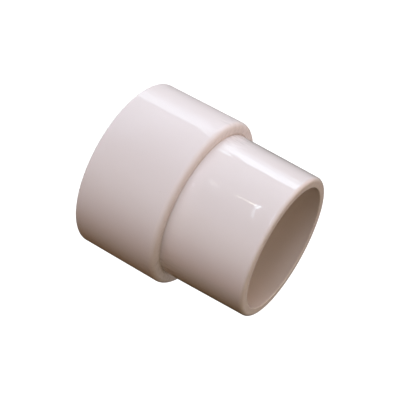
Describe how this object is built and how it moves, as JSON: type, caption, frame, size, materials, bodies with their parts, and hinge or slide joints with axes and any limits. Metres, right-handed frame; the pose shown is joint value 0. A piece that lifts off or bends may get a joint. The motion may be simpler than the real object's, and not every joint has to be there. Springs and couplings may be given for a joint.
{
  "type": "concentric pipe reducer",
  "caption": "Concentric solvent-cement pipe reducer: a wide collar takes the larger pipe and a narrower sleeve standing out of its shoulder takes the smaller one.",
  "frame": {"origin": "centre of the large end's rim, in the plane of the rim, with the reducer standing on that rim", "axes": "+Z along the flow axis from the large end to the small end; the fitting is the same all the way round, so X and Y are free"},
  "size_m": [0.0864, 0.0864, 0.0897],
  "materials": {
    "body_plastic": "glossy warm off-white rigid PVC",
    "sleeve_plastic": "glossy warm off-white rigid PVC",
    "cured_cement": "semi-gloss cured solvent cement"
  },
  "bodies": {
    "root": {"large_socket_body": "body_plastic", "small_socket_sleeve": "sleeve_plastic", "cement_layer": "cured_cement"}
  },
  "joints": []
}
